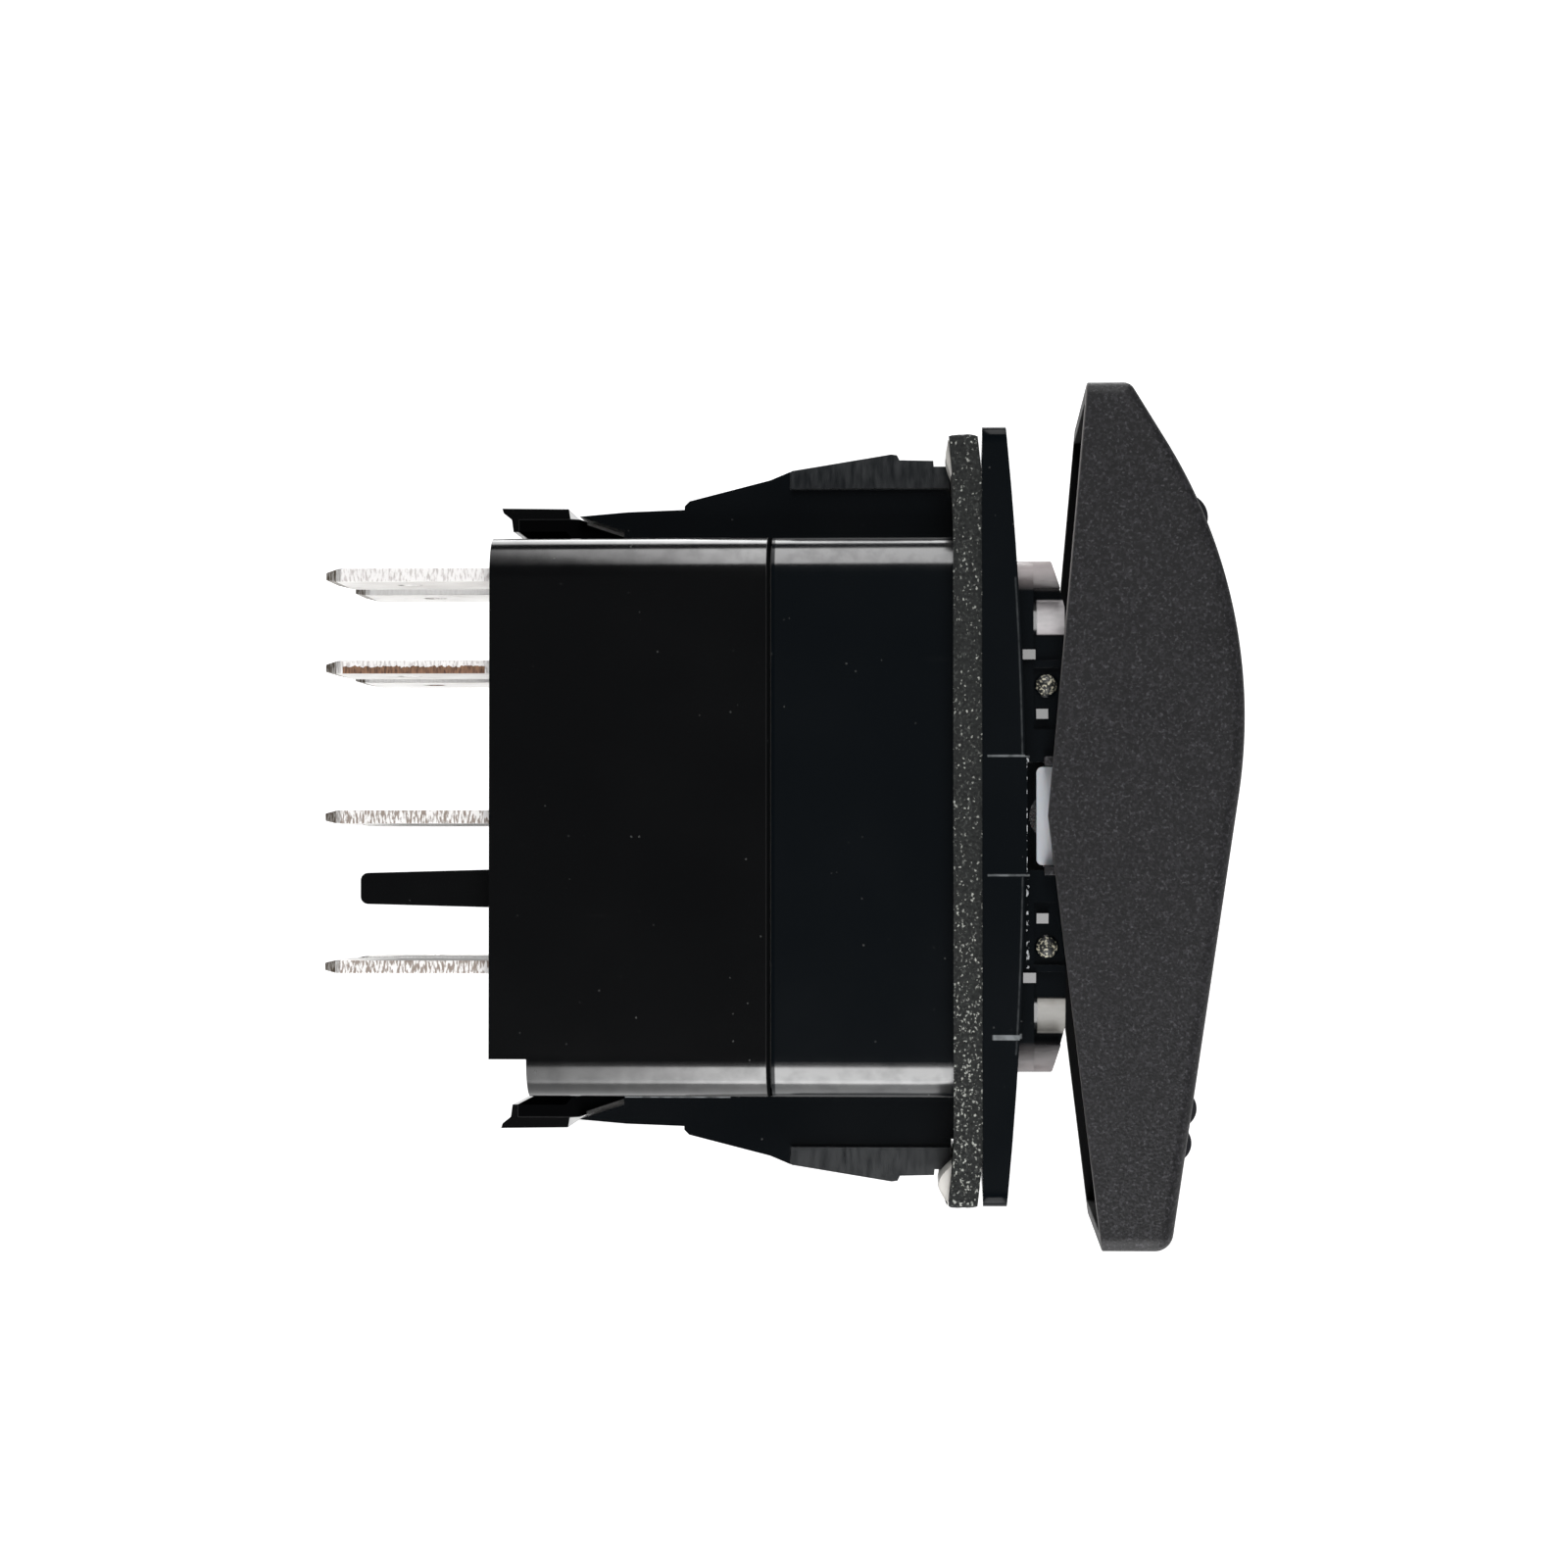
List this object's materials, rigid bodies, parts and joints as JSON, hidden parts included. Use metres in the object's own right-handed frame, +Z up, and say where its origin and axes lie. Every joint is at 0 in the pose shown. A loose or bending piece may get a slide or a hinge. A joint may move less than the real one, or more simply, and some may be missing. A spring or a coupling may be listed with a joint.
{
  "type": "rocker switch",
  "caption": "Snap-in sealed panel rocker switch: crowned rocker with indicator lenses, bezel, foam gasket, black housing and push-on tabs.",
  "frame": {"origin": "centre of the seat on the panel: the gasket's rear face", "axes": "+X out of the panel towards the user, +Z up along the rocker's length, +Y across its width to the user's right"},
  "size_m": [0.055, 0.025, 0.051],
  "materials": {
    "rocker_plastic": "fine-grained matte charcoal moulding",
    "lens": "smoked glossy lens, unlit",
    "white_nylon": "natural white nylon, satin",
    "ivory_nylon": "natural nylon, satin",
    "steel": "ground steel pin",
    "spring_steel": "drawn spring wire",
    "copper": "bare rolled copper strip",
    "silver_contact": "silver alloy contact rivets",
    "bracket_plastic": "glossy black moulding, rougher on the grip pads",
    "base_plastic": "glossy black moulding",
    "foam": "dark grey closed-cell foam with glinting cells",
    "seal_rubber": "black moulded rubber",
    "led_resin": "tinted LED resin",
    "resistor_lacquer": "tan lacquer",
    "tinned_wire": "tinned copper wire",
    "tinned_copper": "satin tin plate over copper alloy, sheared edges"
  },
  "bodies": {
    "housing": {"mounting_bracket": "bracket_plastic", "base_housing": "base_plastic", "panel_gasket": "foam", "housing_seal": "seal_rubber", "actuator_boot": "seal_rubber", "pivot_pin": "steel", "fixed_contacts": "silver_contact", "upper_led": "led_resin", "lower_led": "led_resin", "upper_led_resistor": "resistor_lacquer", "lower_led_resistor": "resistor_lacquer", "upper_lamp_leads": "tinned_wire", "lower_lamp_leads": "tinned_wire", "terminal_1": "tinned_copper", "terminal_2": "tinned_copper", "terminal_3": "tinned_copper", "terminal_4": "tinned_copper", "terminal_5": "tinned_copper", "terminal_6": "tinned_copper", "terminal_7": "tinned_copper", "terminal_8": "tinned_copper"},
    "rocker": {"rocker_cap": "rocker_plastic", "upper_lens": "lens", "lower_lens": "lens", "actuator": "white_nylon", "left_plunger_spring": "spring_steel", "right_plunger_spring": "spring_steel"},
    "left_plunger": {"left_plunger": "ivory_nylon"},
    "right_plunger": {"right_plunger": "ivory_nylon"},
    "left_blade": {"left_contact_blade": "copper", "left_blade_contacts": "silver_contact"},
    "right_blade": {"right_contact_blade": "copper", "right_blade_contacts": "silver_contact"}
  },
  "joints": [
    {"name": "rocker_pivot", "type": "hinge", "parent": "housing", "child": "rocker", "pos_m": [0.006, 0, 0], "axis": [0, 1, 0], "range_deg": [-10, 10], "deforming": ["actuator_boot"]},
    {"name": "left_plunger_slide", "type": "slide", "parent": "rocker", "child": "left_plunger", "axis": [1, 0, 0], "range_m": [0, 0.0015], "stiffness_N_per_m": 600, "springref_m": -0.004, "deforming": ["left_plunger_spring"]},
    {"name": "left_blade_pivot", "type": "hinge", "parent": "housing", "child": "left_blade", "pos_m": [-0.016, -0.0049, 0], "axis": [0, 1, 0], "range_deg": [-7.6, 7.6]},
    {"name": "right_plunger_slide", "type": "slide", "parent": "rocker", "child": "right_plunger", "axis": [1, 0, 0], "range_m": [0, 0.0015], "stiffness_N_per_m": 600, "springref_m": -0.004, "deforming": ["right_plunger_spring"]},
    {"name": "right_blade_pivot", "type": "hinge", "parent": "housing", "child": "right_blade", "pos_m": [-0.016, 0.0049, 0], "axis": [0, 1, 0], "range_deg": [-7.6, 7.6]}
  ],
  "couplings": [
    {"joint": "left_blade_pivot", "follows": "rocker_pivot", "ratio": -0.76},
    {"joint": "right_blade_pivot", "follows": "rocker_pivot", "ratio": -0.76}
  ]
}
